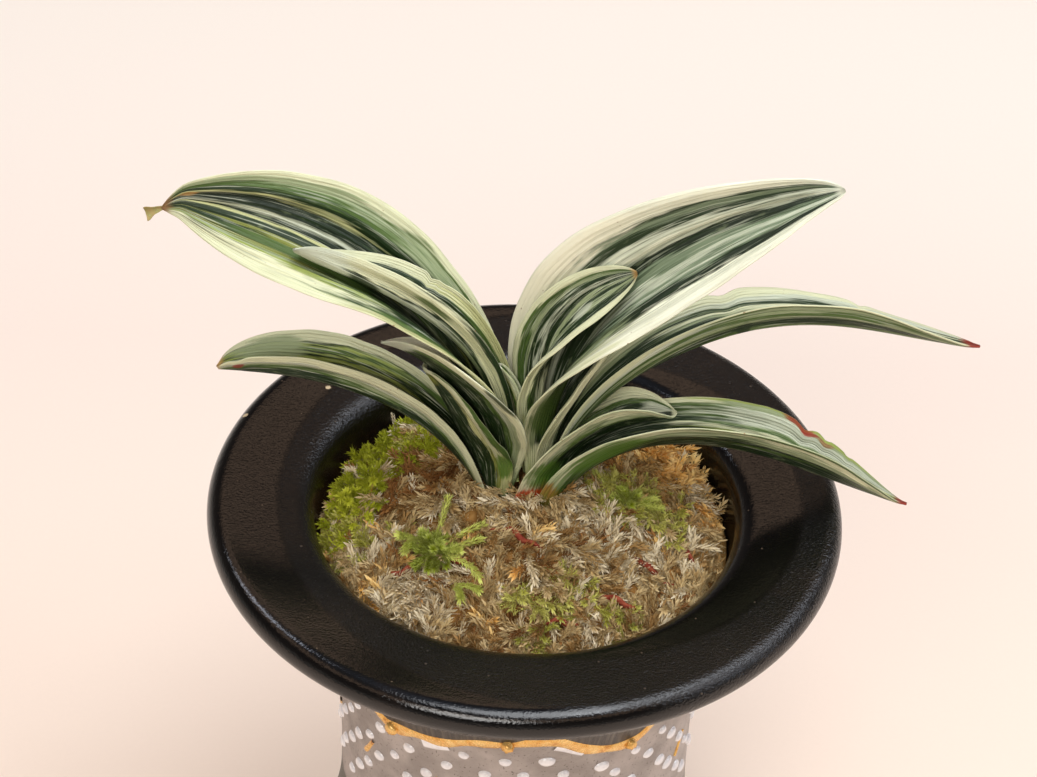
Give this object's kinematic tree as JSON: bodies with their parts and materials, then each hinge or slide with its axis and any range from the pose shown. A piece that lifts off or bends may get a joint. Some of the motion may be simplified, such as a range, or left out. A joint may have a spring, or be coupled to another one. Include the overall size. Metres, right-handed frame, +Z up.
{
  "type": "potted japanese sacred lily",
  "caption": "Dwarf variegated sacred lily: a fan of pleated, cream-edged leaves standing in moss, in a black-brimmed stoneware pot on short feet.",
  "frame": {"origin": "on the surface that the feet stand on, under the middle of the whole plant's box", "axes": "+Z up along the pot's axis; the two ranks of leaves spread along +X and -X; -Y is the front"},
  "size_m": [0.1706, 0.1342, 0.212],
  "materials": {
    "glazed_stoneware": "glossy black glaze on the brim, speckled grey stoneware with raised white slip below",
    "sphagnum": "dry matted moss",
    "pumice": "coarse matte grit",
    "rhizome": "fibrous",
    "leaf": "satin, dark green with cream margins and stripes",
    "young_leaf": "satin, pale yellow-green"
  },
  "bodies": {
    "root": {"pot": "glazed_stoneware", "moss_bed": "sphagnum", "potting_grit": "pumice", "rhizome": "rhizome", "bud_leaf": "young_leaf", "leaf_left_1": "leaf", "leaf_left_2": "leaf", "leaf_left_3": "leaf", "leaf_left_4": "leaf", "leaf_left_5": "leaf", "leaf_right_1": "leaf", "leaf_right_2": "leaf", "leaf_right_3": "leaf", "leaf_right_4": "leaf", "leaf_right_5": "leaf", "leaf_right_6": "leaf"}
  },
  "joints": []
}
